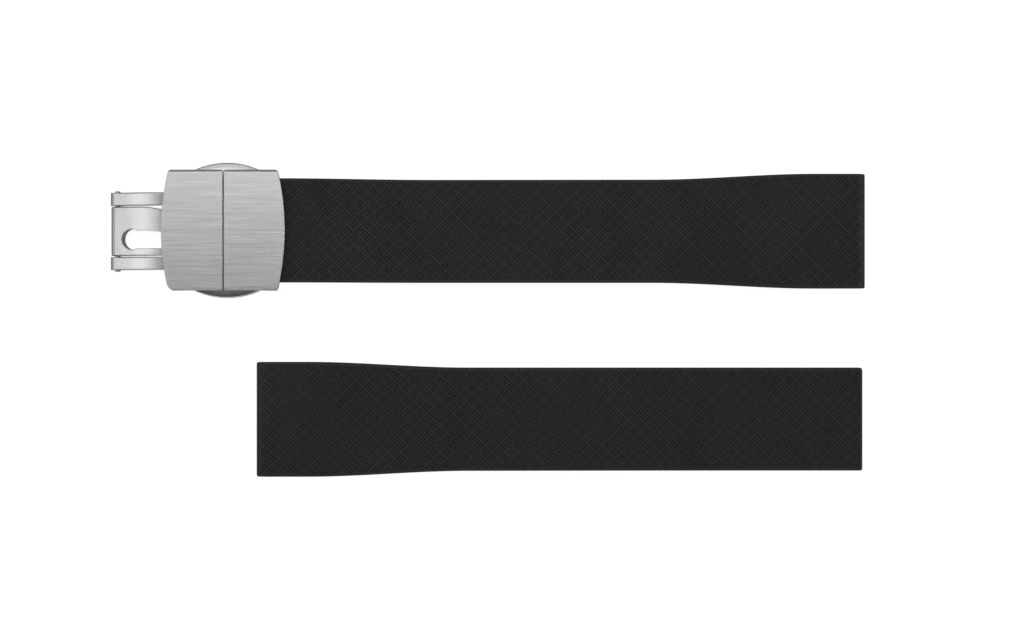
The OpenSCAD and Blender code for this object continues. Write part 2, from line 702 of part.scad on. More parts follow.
upper_strap();
lower_strap();
base_bridge();
pusher_housing();
housing_rivets();
left_hinge_pin();
right_hinge_pin();
left_wing();
right_wing();
left_cover();
right_cover();
left_cover_pin();
right_cover_pin();
left_bar_tube();
left_bar_tip_back();
left_bar_tip_front();
left_bar_spring();
right_bar_tube();
right_bar_tip_back();
right_bar_tip_front();
right_bar_spring();
back_pusher();
front_pusher();
pusher_spring();
pusher_stop_pins();
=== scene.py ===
"""Looks of a rubber watch strap: two straps with a woven face, and a push-button butterfly clasp.

Sizes are millimetres, and MM turns them into Blender's metres.
"""

import json
import math

import bmesh
import bpy
import numpy as np
from mathutils import Matrix, Vector

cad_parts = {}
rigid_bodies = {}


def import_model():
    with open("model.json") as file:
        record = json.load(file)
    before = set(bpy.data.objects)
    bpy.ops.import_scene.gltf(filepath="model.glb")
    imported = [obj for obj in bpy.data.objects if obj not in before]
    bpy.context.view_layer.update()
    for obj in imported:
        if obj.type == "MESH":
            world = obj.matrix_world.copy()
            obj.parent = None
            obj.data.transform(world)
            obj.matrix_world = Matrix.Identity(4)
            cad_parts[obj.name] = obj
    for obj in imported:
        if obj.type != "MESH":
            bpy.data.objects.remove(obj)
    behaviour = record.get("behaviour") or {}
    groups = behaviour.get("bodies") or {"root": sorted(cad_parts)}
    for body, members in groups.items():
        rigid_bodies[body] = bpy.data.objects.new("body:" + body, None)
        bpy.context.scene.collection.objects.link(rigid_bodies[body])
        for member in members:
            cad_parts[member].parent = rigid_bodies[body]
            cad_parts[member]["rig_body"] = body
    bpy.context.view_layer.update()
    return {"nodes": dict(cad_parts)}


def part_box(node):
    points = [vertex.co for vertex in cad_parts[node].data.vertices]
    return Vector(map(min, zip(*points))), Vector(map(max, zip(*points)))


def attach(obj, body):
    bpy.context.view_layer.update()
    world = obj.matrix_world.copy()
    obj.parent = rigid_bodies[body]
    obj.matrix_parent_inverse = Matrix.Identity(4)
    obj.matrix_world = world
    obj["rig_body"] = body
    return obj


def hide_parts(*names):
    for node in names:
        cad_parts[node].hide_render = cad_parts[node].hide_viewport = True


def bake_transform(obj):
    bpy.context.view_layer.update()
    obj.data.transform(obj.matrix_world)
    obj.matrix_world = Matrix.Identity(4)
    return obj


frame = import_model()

MM = 0.001

# Sizes of the straps, as in the CAD model
LUG_HALF = 10.0      # half the width at the lug end, where the watch goes,
CLASP_HALF = 9.0     # and at the clasp end
LUG_T = 4.0          # thickness at the lug end
CLASP_T = 2.7        # and at the clasp end
FULL_LEN = 9.0       # stretch that keeps the lug end's width
TAPER_LEN = 28.0     # stretch over which it narrows
THICK_FROM = 15.0    # where a strap starts to get thicker, from the clasp end
BEND_START = 3.4     # where the upper strap starts to bend down to the table
BEND_LEN = 26.5      # length of that bend
BAR_INSET = 1.9      # the clasp's bar, from the clasp end
BAR_BORE_R = 0.85
LUG_INSET = 2.1      # the watch's bar, from the lug end
LUG_BORE_R = 0.95

# The moulded skin of a strap
EDGE_R = 0.3         # rounding of the face's long edges
BACK_R = 0.5         # rounding of the back's long edges
END_R = 0.4          # rounding of the clasp end
CORNER_R = 0.4       # plan corners at the lug end
RING_STEP = 0.7      # distance between cross sections
END_ANGLES = (90, 65, 40, 20, 0)                    # degrees; cross sections round the clasp end,
NOSE_ANGLES = (10, 20, 30, 40, 50, 60, 69, 78, 86)  # and round the lug end
BORE_SIDES = 48
SMOOTH_ANGLE = 35    # degrees; sharper edges look like edges

# The engraved weave: square blocks of grooves, turned to one side and the other by BLOCK_TURN
PITCH = 2.26
BLOCK_TURN = 45.0    # degrees
GROOVES = 3          # grooves in a block
GROOVE_STEP = 0.49   # distance between the grooves of a block
GROOVE_LEN = 1.36
GROOVE_MOUTH = 0.30  # width at the face,
GROOVE_WALL = 0.18   # under the lip,
GROOVE_FLOOR = 0.10  # and at the floor
LIP = 0.05           # depth of the lip
GROOVE_DEPTH = 0.18
WEAVE_AT = 1.52      # middle of the first block on the strap's middle line, from the clasp end
MARGIN = 0.5         # plain stretch along the sides and at the clasp end
NOSE_LIP = 4.0       # how much higher the cuts stand over the round lug end
NOSE_RUN = 1.0       # stretch before it in which they rise to that
FADE_FROM = 1.7      # where the grooves start to get shallow, back from the lug end,
FADE_TO = 0.7        # and where they end

# Metal pieces
ARM_W = 2.3          # width of a wing's arms
HINGE_IN = 1.2       # a hinge axis, over the table and in from the arms' ends; 1.1 from the blade's
BARREL_IN = 0.95     # a barrel axis, in from the wing's other end
BARREL_UP = 6.06     # and over the table
RELIEF = 0.46        # just over the depth of the relief in the blade's sides
ON_PLANE = 0.01      # what is nearer than this to a plane lies on it
BORE_CLEAR = 0.62    # edges nearer than this to a hinge's or a barrel's axis are a bore's
WELD = 0.002         # corners nearer than this are one
FLAT = 0.6           # degrees; faces that meet at less than this become one
TINY_EDGE = 0.05     # shorter edges are merged away before edges are rounded
SHARP = 32           # degrees; edges sharper than this are rounded
SIDE_R = 0.24        # rounding along the sides of the blade and the arms
PLATE_R = 0.08       # rounding of the covers, and of the blade's other edges
SMALL_R = 0.05       # rounding of the housing and the pushers
ROUND_SEGMENTS = 3
ON_CUT = 1e-9        # what is nearer than this to a flat cut lies on it

# Grain of the materials
NOISE_LOW = 0.3      # most values of a noise lie between this
NOISE_HIGH = 0.7     # and this
BROAD = 0.4          # how many broad streaks there are for each fine one
FINE_SHARE = 0.7     # weight of the fine streaks
BROAD_SHARE = 0.3    # and of the broad ones
STEEL_RELIEF = 0.01  # depth of the streaks
UV_SLANT = 0.37      # share of Z in V, so that faces square to X get a map too

# Rubber: dark and light colour, and its grain
RUBBER_DARK = (0.0155, 0.0158, 0.0163)
RUBBER_LIGHT = (0.0215, 0.0219, 0.0224)
RUBBER_ROUGH = (0.5, 0.66)
RUBBER_SPECULAR = 0.45
RUBBER_FINE = 9.0    # the fine noise's scale in a millimetre
RUBBER_CLOUDY = 0.12  # and the cloudy one's
RUBBER_BUMP = 0.25
RUBBER_RELIEF = 0.02  # depth of the fine noise

# Steel finishes: grain is how many streaks a millimetre holds along X, Y and Z
STEELS = {
    "brushed_steel": dict(dark=(0.49, 0.48, 0.475), light=(0.69, 0.685, 0.68), rough=(0.2, 0.27),
                          grain=(0.2, 9.0, 9.0), grain_bump=0.14, anisotropy=0.6),
    "satin_steel": dict(dark=(0.57, 0.565, 0.56), light=(0.69, 0.685, 0.68), rough=(0.2, 0.25),
                        grain=(0.2, 6.0, 6.0), grain_bump=0.12, anisotropy=0.3),
    "polished_steel": dict(dark=(0.58, 0.575, 0.57), light=(0.70, 0.70, 0.695), rough=(0.22, 0.28),
                           grain=(0.4, 5.0, 5.0), grain_bump=0.1, anisotropy=0.3),
    "pin_steel": dict(dark=(0.50, 0.50, 0.50), light=(0.62, 0.62, 0.62), rough=(0.28, 0.38),
                      grain=(3.0, 8.0, 3.0), grain_bump=0.1),
    "spring_steel": dict(dark=(0.36, 0.36, 0.37), light=(0.50, 0.50, 0.50), rough=(0.28, 0.4),
                         grain=(2.0, 2.0, 2.0)),
}

# Camera, straight above, a little to the right of the object's middle
CAMERA_AT = (4.3, 0.07, 425.3)
LENS = 85.0
SENSOR_W = 36.0

# Soft lights: zenith angle and azimuth in degrees, distance and size in metres, and radiance
SOFTBOXES = {
    "strip": (13.7, 90, 0.5, (0.5, 0.1), 2.2),
    "back_box": (38, 90, 1.0, (1.2, 0.5), 0.86),
    "left_box": (36, 180, 1.0, (0.8, 0.14), 1.65),
    "left_high": (46, 180, 1.0, (0.8, 0.14), 1.2),
    "left_low": (68, 180, 1.0, (1.2, 0.5), 0.5),
    "top_box": (8, 180, 1.0, (0.5, 0.28), 0.28),
    "right_box": (62, 0, 1.0, (1.2, 0.4), 1.5),
    "front_box": (70, -90, 1.0, (1.2, 0.3), 1.8),
}
SKY_COLOUR = (0.96, 0.98, 1.0)
SKY_TOP = 0.02       # brightness overhead
SKY_LOW = 0.3        # and at the horizon
SKY_FROM = 0.15      # sine of the height up to which the sky is as at the horizon,
SKY_TO = 0.7         # and from which it is as overhead

# The floor looks like white paper, and gives the object only what a pale grey floor would give
FLOOR_ALBEDO = 0.35
FLOOR_SHINE = 0.92   # what it adds of its own where the camera looks at it,
FLOOR_GLOW = 0.1     # and where it only lights the object
FLOOR_ROUGH = 0.9
FLOOR_SPECULAR = 0.1
FLOOR_HALF = 3.0     # metres
FLOOR_DROP = 0.02    # how far it lies under the object, so that their faces don't meet

# Numbers of a Mix node's colour sockets
MIX_DARK = 6
MIX_LIGHT = 7
MIX_OUT = 2


def ease(v):
    """Rises smoothly from 0 to 1 with v."""
    u = np.clip(v, 0.0, 1.0)
    return u * u * (3.0 - 2.0 * u)


class StrapShape:
    """A strap's outline along s, which runs from the clasp end, 0, to the lug end."""

    def __init__(self, node, turned):
        low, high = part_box(node)
        self.length = (high[0] - low[0]) / MM
        self.x0 = (high[0] if turned else low[0]) / MM
        self.y0 = (high[1] + low[1]) / 2 / MM
        self.way = -1.0 if turned else 1.0
        self.rise = 0.0 if turned else high[2] / MM - CLASP_T

    def under(self, s):
        """Height of the back over the table."""
        return self.rise * (1 + np.cos(np.pi * np.clip((s - BEND_START) / BEND_LEN, 0, 1))) / 2

    def thick(self, s):
        run = self.length - THICK_FROM - LUG_T / 2
        return CLASP_T + (LUG_T - CLASP_T) * ease((s - THICK_FROM) / run)

    def half(self, s):
        """Half the width."""
        narrowed = ease((self.length - s - FULL_LEN) / TAPER_LEN)
        return LUG_HALF - (LUG_HALF - CLASP_HALF) * narrowed

    def face(self, s):
        """Height of the face over the table."""
        return self.under(s) + self.thick(s)

    def place(self, s, y, z):
        """Points in metres in the shared frame."""
        return np.stack([self.x0 + self.way * s, self.y0 + self.way * y, z], axis=-1) * MM


def link(obj):
    bpy.context.scene.collection.objects.link(obj)
    return obj


def mesh_object(bm, name):
    mesh = bpy.data.meshes.new(name)
    bm.to_mesh(mesh)
    bm.free()
    return link(bpy.data.objects.new(name, mesh))


def applied(obj):
    """obj with its modifiers turned into plain mesh."""
    bpy.context.view_layer.update()
    graph = bpy.context.evaluated_depsgraph_get()
    mesh = bpy.data.meshes.new_from_object(obj.evaluated_get(graph))
    obj.modifiers.clear()
    obj.data = mesh
    mesh.name = obj.name
    return obj


def paint(obj, material):
    """Gives an object one material in place of its own."""
    obj.data.materials.clear()
    obj.data.materials.append(material)


def smooth(obj):
    """Smooth shading, but for the sharp edges."""
    obj.data.shade_smooth()
    obj.data.set_sharp_from_angle(angle=math.radians(SMOOTH_ANGLE))


def cut_flat(bm, point, outward):
    """Cuts off what lies outward of a plane, and closes the cut."""
    everything = bm.verts[:] + bm.edges[:] + bm.faces[:]
    found = bmesh.ops.bisect_plane(bm, geom=everything, plane_co=point, plane_no=outward,
                                   clear_outer=True, dist=ON_CUT)
    edges = [e for e in found["geom_cut"] if isinstance(e, bmesh.types.BMEdge)]
    bmesh.ops.holes_fill(bm, edges=[e for e in edges if e.is_boundary])


def body_of(node):
    return frame["nodes"][node]["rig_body"]


# Straps

def arc(cy, cz, r, start, end, count):
    """Points of an arc from start to end, in degrees."""
    return [(cy + r * math.cos(a), cz + r * math.sin(a)) for a in np.radians(np.linspace(start, end, count))]


def half_section(half, thick):
    """Half of a cross section as pairs of y and z, from the middle of the back, round the side,
    to the middle of the face."""
    return (
        [(0.0, 0.0), (half / 2, 0.0)]
        + arc(half - BACK_R, BACK_R, BACK_R, -90, 0, 4)
        + arc(half - EDGE_R, thick - EDGE_R, EDGE_R, 0, 90, 5)
        + [(half / 2, thick), (0.0, thick)]
    )


def strap_rings(shape):
    """Half cross sections from the clasp end to the lug end, as lists of s, y and height over the
    face."""
    length, nose = shape.length, LUG_T / 2
    rings = []

    def add(s, inset):
        """A cross section drawn in by inset on all sides."""
        section = half_section(shape.half(s) - inset, shape.thick(s) - 2 * inset)
        rings.append([(s, y, z + inset - shape.thick(s)) for y, z in section])

    def add_nose(s):
        """A cross section of the round lug end."""
        past = max(0.0, s - (length - nose))
        squeeze = math.sqrt(nose * nose - past * past) / nose
        corner = max(0.0, s - (length - CORNER_R))
        inset = CORNER_R - math.sqrt(CORNER_R * CORNER_R - corner * corner)
        section = half_section(shape.half(s) - inset, LUG_T)
        rings.append([(s, y, (z - nose) * squeeze - nose) for y, z in section])

    for a in np.radians(END_ANGLES):
        add(END_R * (1 - math.sin(a)), END_R * (1 - math.cos(a)))
    run = length - nose - END_R
    for s in END_R + run * np.linspace(0, 1, round(run / RING_STEP))[1:]:
        add(s, 0.0)
    for a in np.radians(NOSE_ANGLES):
        add_nose(length - nose + nose * math.sin(a))
    return rings


def flat_skin(shape, name):
    """The strap laid flat, in millimetres along s, y and height over the face, as a closed skin."""
    bm = bmesh.new()
    loops = []
    for half_ring in strap_rings(shape):
        ring = half_ring + [(s, -y, h) for s, y, h in half_ring[-2:0:-1]]
        loops.append([bm.verts.new(point) for point in ring])
    n = len(loops[0])
    for a, b in zip(loops, loops[1:]):
        for i in range(n):
            bm.faces.new((a[i], a[(i + 1) % n], b[(i + 1) % n], b[i]))
    for loop in (loops[0], loops[-1]):
        bm.faces.new(loop)
    bmesh.ops.recalc_face_normals(bm, faces=bm.faces)
    return mesh_object(bm, name)


def bore(s, height, radius):
    """A cylinder across the flat strap, for cutting a bore."""
    bm = bmesh.new()
    bmesh.ops.create_cone(bm, cap_ends=True, segments=BORE_SIDES, radius1=radius, radius2=radius,
                          depth=3 * LUG_HALF)
    bm.transform(Matrix.Translation((s, 0, height)) @ Matrix.Rotation(math.pi / 2, 4, "X"))
    return mesh_object(bm, "bore")


class NodeTree:
    """Short calls for a node tree's nodes and links."""

    def __init__(self, tree):
        self.tree = tree

    def add(self, kind, inputs=None, **settings):
        """A node. settings are its properties, and inputs are values, or sockets to link to."""
        node = self.tree.nodes.new(kind)
        for key, value in settings.items():
            setattr(node, key, value)
        for key, value in (inputs or {}).items():
            socket = node.inputs[key]
            if isinstance(value, bpy.types.NodeSocket):
                self.tree.links.new(value, socket)
            else:
                socket.default_value = value
        return node

    def math(self, operation, a, b):
        return self.add("ShaderNodeMath", {0: a, 1: b}, operation=operation).outputs[0]


WEAVE_INPUTS = {
    "Columns": "NodeSocketInt",
    "Rows": "NodeSocketInt",
    "Pitch": "NodeSocketFloat",
    "Grooves": "NodeSocketInt",
    "Spacing": "NodeSocketFloat",
    "Length": "NodeSocketFloat",
    "Mouth": "NodeSocketFloat",
    "Wall": "NodeSocketFloat",
    "Floor": "NodeSocketFloat",
    "Lip": "NodeSocketFloat",
    "Depth": "NodeSocketFloat",
    "Start": "NodeSocketVector",
    "Material": "NodeSocketMaterial",
}


def weave_tree():
    """What the weave's grooves cut out of a flat strap: two grids of blocks, half a pitch apart,
    each block a row of tapered bars that stand through the face."""
    tree = bpy.data.node_groups.new("basket_weave", "GeometryNodeTree")
    for name, kind in WEAVE_INPUTS.items():
        tree.interface.new_socket(name, in_out="INPUT", socket_type=kind)
    tree.interface.new_socket("Geometry", in_out="OUTPUT", socket_type="NodeSocketGeometry")
    nodes = NodeTree(tree)
    given = nodes.add("NodeGroupInput").outputs

    def times(a, b):
        return nodes.math("MULTIPLY", a, b)

    def minus(a, b):
        return nodes.math("SUBTRACT", a, b)

    # one groove: three layers of corners, at the floor, under the lip and over the face
    bar = nodes.add("GeometryNodeMeshCube", {
        "Size": (2.0, 2.0, 2.0), "Vertices X": 2, "Vertices Y": 2, "Vertices Z": 3})
    at = nodes.add("GeometryNodeInputPosition").outputs[0]
    xyz = nodes.add("ShaderNodeSeparateXYZ", {0: at}).outputs
    is_floor = nodes.math("LESS_THAN", xyz[2], -0.5)
    is_top = nodes.math("GREATER_THAN", xyz[2], 0.5)
    to_floor = times(is_floor, minus(given["Wall"], given["Floor"]))
    to_top = times(is_top, minus(given["Mouth"], given["Wall"]))
    opening = minus(times(to_top, 2.0), to_floor)
    width = nodes.math("ADD", given["Wall"], opening)
    length = nodes.math("ADD", given["Length"], opening)
    lift = times(times(is_top, 2.0), given["Lip"])
    drop = times(is_floor, minus(given["Depth"], given["Lip"]))
    height = minus(minus(lift, given["Lip"]), drop)
    shaped = nodes.add("ShaderNodeCombineXYZ", {
        0: times(xyz[0], times(length, 0.5)), 1: times(xyz[1], times(width, 0.5)), 2: height})
    groove = nodes.add("GeometryNodeSetPosition", {
        "Geometry": bar.outputs["Mesh"], "Position": shaped.outputs[0]})

    # one block: a row of grooves, side by side
    back = times(minus(given["Grooves"], 1.0), -0.5)
    first = nodes.add("ShaderNodeCombineXYZ", {1: times(back, given["Spacing"])})
    step = nodes.add("ShaderNodeCombineXYZ", {1: given["Spacing"]})
    row = nodes.add("GeometryNodeMeshLine", {
        "Count": given["Grooves"], "Start Location": first.outputs[0], "Offset": step.outputs[0]})
    block = nodes.add("GeometryNodeInstanceOnPoints", {
        "Points": row.outputs["Mesh"], "Instance": groove.outputs["Geometry"]})

    # two grids of blocks
    join = nodes.add("GeometryNodeJoinGeometry")
    span_x = times(minus(given["Columns"], 1.0), given["Pitch"])
    span_y = times(minus(given["Rows"], 1.0), given["Pitch"])
    for turn, share in ((BLOCK_TURN, 0.0), (-BLOCK_TURN, 0.5)):
        grid = nodes.add("GeometryNodeMeshGrid", {
            "Size X": span_x, "Size Y": span_y,
            "Vertices X": given["Columns"], "Vertices Y": given["Rows"]})
        off = times(given["Pitch"], share)
        shift = nodes.add("ShaderNodeCombineXYZ", {
            0: nodes.math("ADD", times(span_x, 0.5), off), 1: off})
        moved = nodes.add("GeometryNodeTransform", {
            "Geometry": grid.outputs["Mesh"], "Translation": shift.outputs[0]})
        blocks = nodes.add("GeometryNodeInstanceOnPoints", {
            "Points": moved.outputs["Geometry"], "Instance": block.outputs["Instances"],
            "Rotation": (0.0, 0.0, math.radians(turn))})
        tree.links.new(blocks.outputs["Instances"], join.inputs[0])
    placed = nodes.add("GeometryNodeTransform", {
        "Geometry": join.outputs[0], "Translation": given["Start"]})
    real = nodes.add("GeometryNodeRealizeInstances", {"Geometry": placed.outputs["Geometry"]})
    coated = nodes.add("GeometryNodeSetMaterial", {
        "Geometry": real.outputs["Geometry"], "Material": given["Material"]})
    nodes.add("NodeGroupOutput", {"Geometry": coated.outputs["Geometry"]})
    return tree


def set_inputs(modifier, **values):
    """Sets a Geometry Nodes modifier's inputs by their sockets' identifiers."""
    ids = {s.name: s.identifier for s in modifier.node_group.interface.items_tree if s.in_out == "INPUT"}
    for name, value in values.items():
        modifier[ids[name]] = value


def grooves(shape, tree, material):
    """What the weave's grooves cut out of one flat strap, with the plain margins left standing."""
    cutter = link(bpy.data.objects.new("grooves", bpy.data.meshes.new("grooves")))
    weave = cutter.modifiers.new("weave", "NODES")
    weave.node_group = tree
    set_inputs(
        weave, Columns=math.ceil(shape.length / PITCH) + 2, Rows=2 * math.ceil(LUG_HALF / PITCH) + 1,
        Pitch=PITCH, Grooves=GROOVES, Spacing=GROOVE_STEP, Length=GROOVE_LEN, Mouth=GROOVE_MOUTH,
        Wall=GROOVE_WALL, Floor=GROOVE_FLOOR, Lip=LIP, Depth=GROOVE_DEPTH,
        Start=(WEAVE_AT - PITCH, 0.0, 0.0), Material=material)
    applied(cutter)

    def limit(s):
        return shape.half(s) - MARGIN

    # y is taken as a share of the woven half width meanwhile, so that the cuts are flat
    bm = bmesh.new()
    bm.from_mesh(cutter.data)
    for v in bm.verts:
        v.co.y /= limit(v.co.x)
    cut_flat(bm, (MARGIN, 0, 0), (-1, 0, 0))
    cut_flat(bm, (shape.length - FADE_TO, 0, 0), (1, 0, 0))
    cut_flat(bm, (0, 1, 0), (0, 1, 0))
    cut_flat(bm, (0, -1, 0), (0, -1, 0))
    nose = LUG_T / 2
    for v in bm.verts:
        s, y, height = v.co
        past = max(0.0, s - (shape.length - nose))
        drop = nose - math.sqrt(nose * nose - past * past)
        if height > 0:
            height *= 1 + NOSE_LIP * ease((s - (shape.length - nose - NOSE_RUN)) / NOSE_RUN)
        fade = np.clip((s - shape.length + FADE_FROM) / (FADE_FROM - FADE_TO), 0, 1)
        v.co = (s, y * limit(s), height - drop + fade * (GROOVE_DEPTH - LIP))
    bm.to_mesh(cutter.data)
    bm.free()
    return cutter


def strap(node, turned, tree, material):
    """One strap as a single moulding: cut while it is flat, then bent to its place."""
    shape = StrapShape(node, turned)
    body = flat_skin(shape, node + "_moulding")
    cutters = [
        grooves(shape, tree, material),
        bore(BAR_INSET, -CLASP_T / 2, BAR_BORE_R),
        bore(shape.length - LUG_INSET, -LUG_T / 2, LUG_BORE_R),
    ]
    for cutter in cutters:
        cut = body.modifiers.new("cut", "BOOLEAN")
        cut.object = cutter
        cut.solver = "MANIFOLD"
    applied(body)
    for cutter in cutters:
        bpy.data.objects.remove(cutter)
    points = np.zeros(3 * len(body.data.vertices))
    body.data.vertices.foreach_get("co", points)
    s, y, height = points.reshape(-1, 3).T
    body.data.vertices.foreach_set("co", shape.place(s, y, shape.face(s) + height).ravel())
    body.data.update()
    paint(body, material)
    smooth(body)
    return body


# Materials

def new_material(name):
    """A material, its node tree and its shader, which reads the object's own coordinates."""
    material = bpy.data.materials.new(name)
    material.use_nodes = True
    nodes = NodeTree(material.node_tree)
    shader = material.node_tree.nodes["Principled BSDF"]
    place = nodes.add("ShaderNodeTexCoord").outputs["Object"]
    return material, nodes, shader, place


def noise(nodes, place, scale, stretch=(1, 1, 1), detail=3.0, rough=0.5):
    mapped = nodes.add("ShaderNodeMapping", {"Vector": place, "Scale": stretch}).outputs[0]
    return nodes.add("ShaderNodeTexNoise", {
        "Vector": mapped, "Scale": scale, "Detail": detail, "Roughness": rough}).outputs["Fac"]


def spread(nodes, value, low, high, from_low=NOISE_LOW, from_high=NOISE_HIGH):
    """Maps a noise, or what else runs from from_low to from_high, to a range."""
    node = nodes.add("ShaderNodeMapRange", {
        "Value": value, "From Min": from_low, "From Max": from_high, "To Min": low, "To Max": high})
    return node.outputs[0]


def colour_mix(nodes, value, dark, light):
    node = nodes.tree.nodes.new("ShaderNodeMix")
    node.data_type = "RGBA"
    nodes.tree.links.new(value, node.inputs[0])
    node.inputs[MIX_DARK].default_value = (*dark, 1)
    node.inputs[MIX_LIGHT].default_value = (*light, 1)
    return node.outputs[MIX_OUT]


def bump(nodes, height, strength, depth):
    return nodes.add("ShaderNodeBump", {
        "Height": height, "Strength": strength, "Distance": depth * MM}).outputs[0]


def rubber():
    material, nodes, shader, place = new_material("moulded_rubber")
    links = nodes.tree.links
    fine = noise(nodes, place, RUBBER_FINE / MM, detail=2.0)
    cloudy = noise(nodes, place, RUBBER_CLOUDY / MM)
    colour = colour_mix(nodes, spread(nodes, cloudy, 0, 1), RUBBER_DARK, RUBBER_LIGHT)
    links.new(colour, shader.inputs["Base Color"])
    links.new(spread(nodes, fine, *RUBBER_ROUGH), shader.inputs["Roughness"])
    links.new(bump(nodes, fine, RUBBER_BUMP, RUBBER_RELIEF), shader.inputs["Normal"])
    shader.inputs["Specular IOR Level"].default_value = RUBBER_SPECULAR
    return material


def steel(name, dark, light, rough, grain, grain_bump=0.0, anisotropy=0.0):
    """Steel with fine and broad streaks."""
    material, nodes, shader, place = new_material(name)
    links = nodes.tree.links
    fine = noise(nodes, place, 1.0, stretch=[g / MM for g in grain], rough=0.7)
    broad = noise(nodes, place, 1.0, stretch=[BROAD * g / MM for g in grain], detail=2.0)
    weighed = (nodes.math("MULTIPLY", fine, FINE_SHARE), nodes.math("MULTIPLY", broad, BROAD_SHARE))
    both = nodes.math("ADD", *weighed)
    links.new(colour_mix(nodes, spread(nodes, both, 0, 1), dark, light), shader.inputs["Base Color"])
    links.new(spread(nodes, both, *rough), shader.inputs["Roughness"])
    if grain_bump:
        links.new(bump(nodes, fine, grain_bump, STEEL_RELIEF), shader.inputs["Normal"])
    shader.inputs["Metallic"].default_value = 1.0
    shader.inputs["Anisotropic"].default_value = anisotropy
    if anisotropy:
        tangent = nodes.add("ShaderNodeTangent", direction_type="UV_MAP", uv_map="across_grain")
        links.new(tangent.outputs[0], shader.inputs["Tangent"])
    return material


def across_grain(mesh):
    """A UV map whose U runs along Y, across the grain, in metres."""
    uv = mesh.uv_layers.new(name="across_grain")
    points = np.zeros(3 * len(mesh.vertices))
    mesh.vertices.foreach_get("co", points)
    corners = np.zeros(len(mesh.loops), int)
    mesh.loops.foreach_get("vertex_index", corners)
    x, y, z = points.reshape(-1, 3)[corners].T
    uv.data.foreach_set("uv", np.stack([y, x + UV_SLANT * z], axis=-1).ravel())


# Metal pieces

def softened(node, rounding, material, reach):
    """A copy of a CAD node with its edges rounded, which stands for the node. rounding gives how
    far an edge is rounded, from its ends, and reach says how that is measured."""
    obj = link(bpy.data.objects.new(node + "_finished", frame["nodes"][node].data.copy()))
    bm = bmesh.new()
    bm.from_mesh(obj.data)
    bmesh.ops.remove_doubles(bm, verts=bm.verts, dist=WELD * MM)
    bmesh.ops.dissolve_limit(bm, angle_limit=math.radians(FLAT), verts=bm.verts, edges=bm.edges)
    bmesh.ops.remove_doubles(bm, verts=bm.verts, dist=TINY_EDGE * MM)
    weight = bm.edges.layers.float.new("bevel_weight_edge")
    widest = 0.0
    for edge in bm.edges:
        if len(edge.link_faces) == 2 and edge.calc_face_angle() > math.radians(SHARP) and edge.is_convex:
            edge[weight] = rounding(*[v.co / MM for v in edge.verts])
            widest = max(widest, edge[weight])
    for edge in bm.edges:
        edge[weight] /= widest
    bm.to_mesh(obj.data)
    bm.free()
    bevel = obj.modifiers.new("bevel", "BEVEL")
    bevel.offset_type = reach
    bevel.width = widest * MM
    bevel.segments = ROUND_SEGMENTS
    bevel.limit_method = "WEIGHT"
    bevel.use_clamp_overlap = False
    applied(obj)
    smooth(obj)
    normals = obj.modifiers.new("normals", "WEIGHTED_NORMAL")
    normals.keep_sharp = True
    applied(obj)
    paint(obj, material)
    across_grain(obj.data)
    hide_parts(node)
    return obj


def everywhere(width):
    """Rounds all edges by width."""
    return lambda a, b: width


def on_sides(node, planes, width, depth=ON_PLANE, inner=0.0):
    """Rounds by width the edges that lie on planes square to Y, or up to depth in from them, and
    the others by inner. Edges close round a hinge or barrel axis belong to bores, and stay."""
    low, high = (Vector(c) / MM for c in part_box(node))
    axes = [
        (low.x + HINGE_IN, HINGE_IN), (high.x - HINGE_IN, HINGE_IN),
        (low.x + BARREL_IN, BARREL_UP), (high.x - BARREL_IN, BARREL_UP),
    ]

    def rounding(a, b):
        if any(math.hypot(v.x - x, v.z - z) < BORE_CLEAR for v in (a, b) for x, z in axes):
            return 0.0
        outer = all(any(abs(v.y - y) < depth for y in planes) for v in (a, b))
        return width if outer else inner

    return rounding


def spring_halves(node, holder, ends, material):
    """A coil spring in two halves, cut at its middle. holder is not used, and ends are the bodies at its
    back and front ends."""
    low, high = (Vector(c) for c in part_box(node))
    middle = (low + high) / 2
    for side, body, end_y, outward in (("_back", ends[0], high.y, -1), ("_front", ends[1], low.y, 1)):
        bm = bmesh.new()
        bm.from_mesh(frame["nodes"][node].data)
        bmesh.ops.remove_doubles(bm, verts=bm.verts, dist=WELD * MM)
        cut_flat(bm, middle, (0, outward, 0))
        half = mesh_object(bm, node + side)
        half.data.materials.append(material)
        smooth(half)
        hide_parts(node)
        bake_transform(half)


# The scene

def camera():
    """Looks straight down, with the watch ends at the right."""
    data = bpy.data.cameras.new("camera")
    data.lens = LENS
    data.sensor_width = SENSOR_W
    obj = link(bpy.data.objects.new("camera", data))
    obj.location = Vector(CAMERA_AT) * MM
    bpy.context.scene.camera = obj


def softbox(name, zenith, azimuth, distance, size, radiance):
    """A soft light aimed at the middle of the floor. zenith and azimuth are its direction,
    azimuth from +X towards +Y, and radiance is how bright its face looks."""
    z, a = math.radians(zenith), math.radians(azimuth)
    away = Vector((math.sin(z) * math.cos(a), math.sin(z) * math.sin(a), math.cos(z)))
    light = bpy.data.lights.new(name, "AREA")
    light.shape = "RECTANGLE"
    light.size, light.size_y = size
    light.energy = radiance * math.pi * size[0] * size[1]
    obj = link(bpy.data.objects.new(name, light))
    obj.location = away * distance
    obj.rotation_euler = away.to_track_quat("Z", "Y").to_euler()


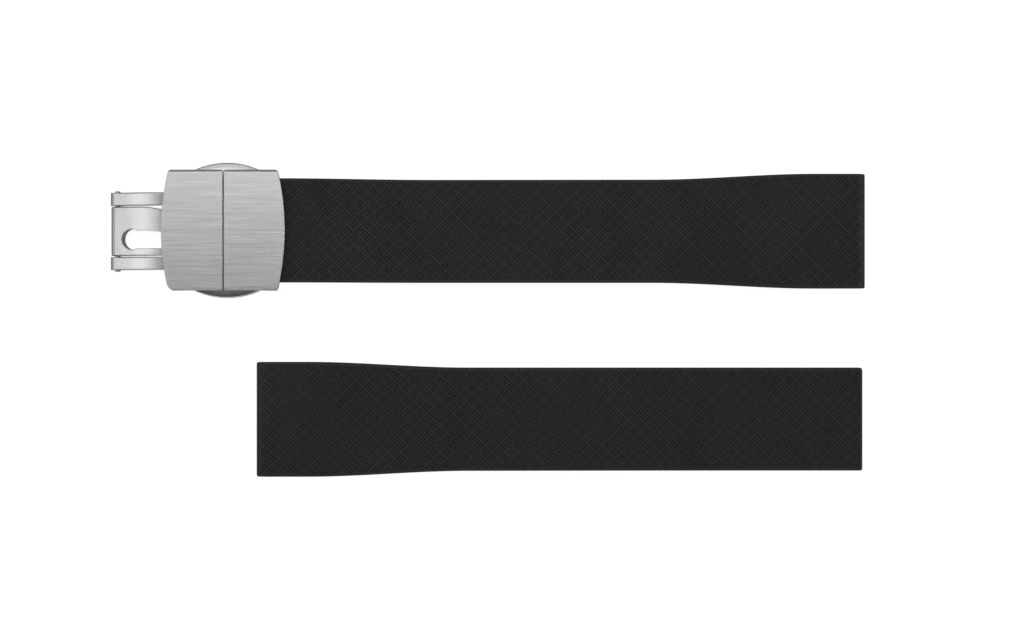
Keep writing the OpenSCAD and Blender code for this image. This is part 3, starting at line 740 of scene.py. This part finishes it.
def studio():
    """A dim sky, the soft lights, and colours shown as they are."""
    world = bpy.data.worlds.new("studio")
    world.use_nodes = True
    nodes = NodeTree(world.node_tree)
    background = world.node_tree.nodes["Background"]
    background.inputs["Color"].default_value = (*SKY_COLOUR, 1)
    way = nodes.add("ShaderNodeTexCoord").outputs["Generated"]
    height = nodes.add("ShaderNodeSeparateXYZ", {0: way}).outputs[2]
    sky = spread(nodes, height, SKY_LOW, SKY_TOP, SKY_FROM, SKY_TO)
    nodes.tree.links.new(sky, background.inputs["Strength"])
    bpy.context.scene.world = world
    for name, light in SOFTBOXES.items():
        softbox(name, *light)
    view = bpy.context.scene.view_settings
    view.view_transform = "Standard"
    view.look = "None"


def floor():
    bm = bmesh.new()
    bmesh.ops.create_grid(bm, x_segments=1, y_segments=1, size=FLOOR_HALF)
    obj = mesh_object(bm, "floor")
    obj.location.z = -FLOOR_DROP * MM
    material, nodes, shader, place = new_material("pale_floor")
    shader.inputs["Base Color"].default_value = (FLOOR_ALBEDO, FLOOR_ALBEDO, FLOOR_ALBEDO, 1)
    shader.inputs["Emission Color"].default_value = (1, 1, 1, 1)
    seen = nodes.add("ShaderNodeLightPath").outputs["Is Camera Ray"]
    light = spread(nodes, seen, FLOOR_GLOW, FLOOR_SHINE, 0.0, 1.0)
    nodes.tree.links.new(light, shader.inputs["Emission Strength"])
    shader.inputs["Roughness"].default_value = FLOOR_ROUGH
    shader.inputs["Specular IOR Level"].default_value = FLOOR_SPECULAR
    paint(obj, material)


def straps():
    material = rubber()
    tree = weave_tree()
    for node, turned in (("upper_strap", False), ("lower_strap", True)):
        piece = strap(node, turned, tree, material)
        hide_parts(node)
        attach(piece, body_of(node))


def clasp():
    steels = {name: steel(name, **finish) for name, finish in STEELS.items()}
    base_low, base_high = (Vector(c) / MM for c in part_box("base_bridge"))
    wing_low, wing_high = (Vector(c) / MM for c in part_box("left_wing"))
    blade_sides = on_sides("base_bridge", (base_low.y, base_high.y), SIDE_R, RELIEF, inner=PLATE_R)
    arm_planes = (wing_low.y, wing_low.y + ARM_W, wing_high.y - ARM_W, wing_high.y)
    for node, rounding, finish, reach in (
        ("left_cover", everywhere(PLATE_R), "brushed_steel", "OFFSET"),
        ("right_cover", everywhere(PLATE_R), "brushed_steel", "OFFSET"),
        ("base_bridge", blade_sides, "satin_steel", "OFFSET"),
        ("left_wing", on_sides("left_wing", arm_planes, SIDE_R), "satin_steel", "ABSOLUTE"),
        ("right_wing", on_sides("right_wing", arm_planes, SIDE_R), "satin_steel", "ABSOLUTE"),
        ("pusher_housing", everywhere(SMALL_R), "satin_steel", "OFFSET"),
        ("back_pusher", everywhere(SMALL_R), "polished_steel", "OFFSET"),
        ("front_pusher", everywhere(SMALL_R), "polished_steel", "OFFSET"),
    ):
        piece = softened(node, rounding, steels[finish], reach)
        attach(piece, body_of(node))
    for node, obj in frame["nodes"].items():
        if any(word in node for word in ("pin", "tip", "tube", "rivets")):
            paint(obj, steels["pin_steel"])
    wire = steels["spring_steel"]
    for spring, holder in (("left_bar", "left_cover"), ("right_bar", "right_cover")):
        spring_halves(spring + "_spring", holder, (spring + "_tip_back", spring + "_tip_front"), wire)
    spring_halves("pusher_spring", "base", ("back_pusher", "front_pusher"), wire)


camera()
studio()
floor()
straps()
clasp()
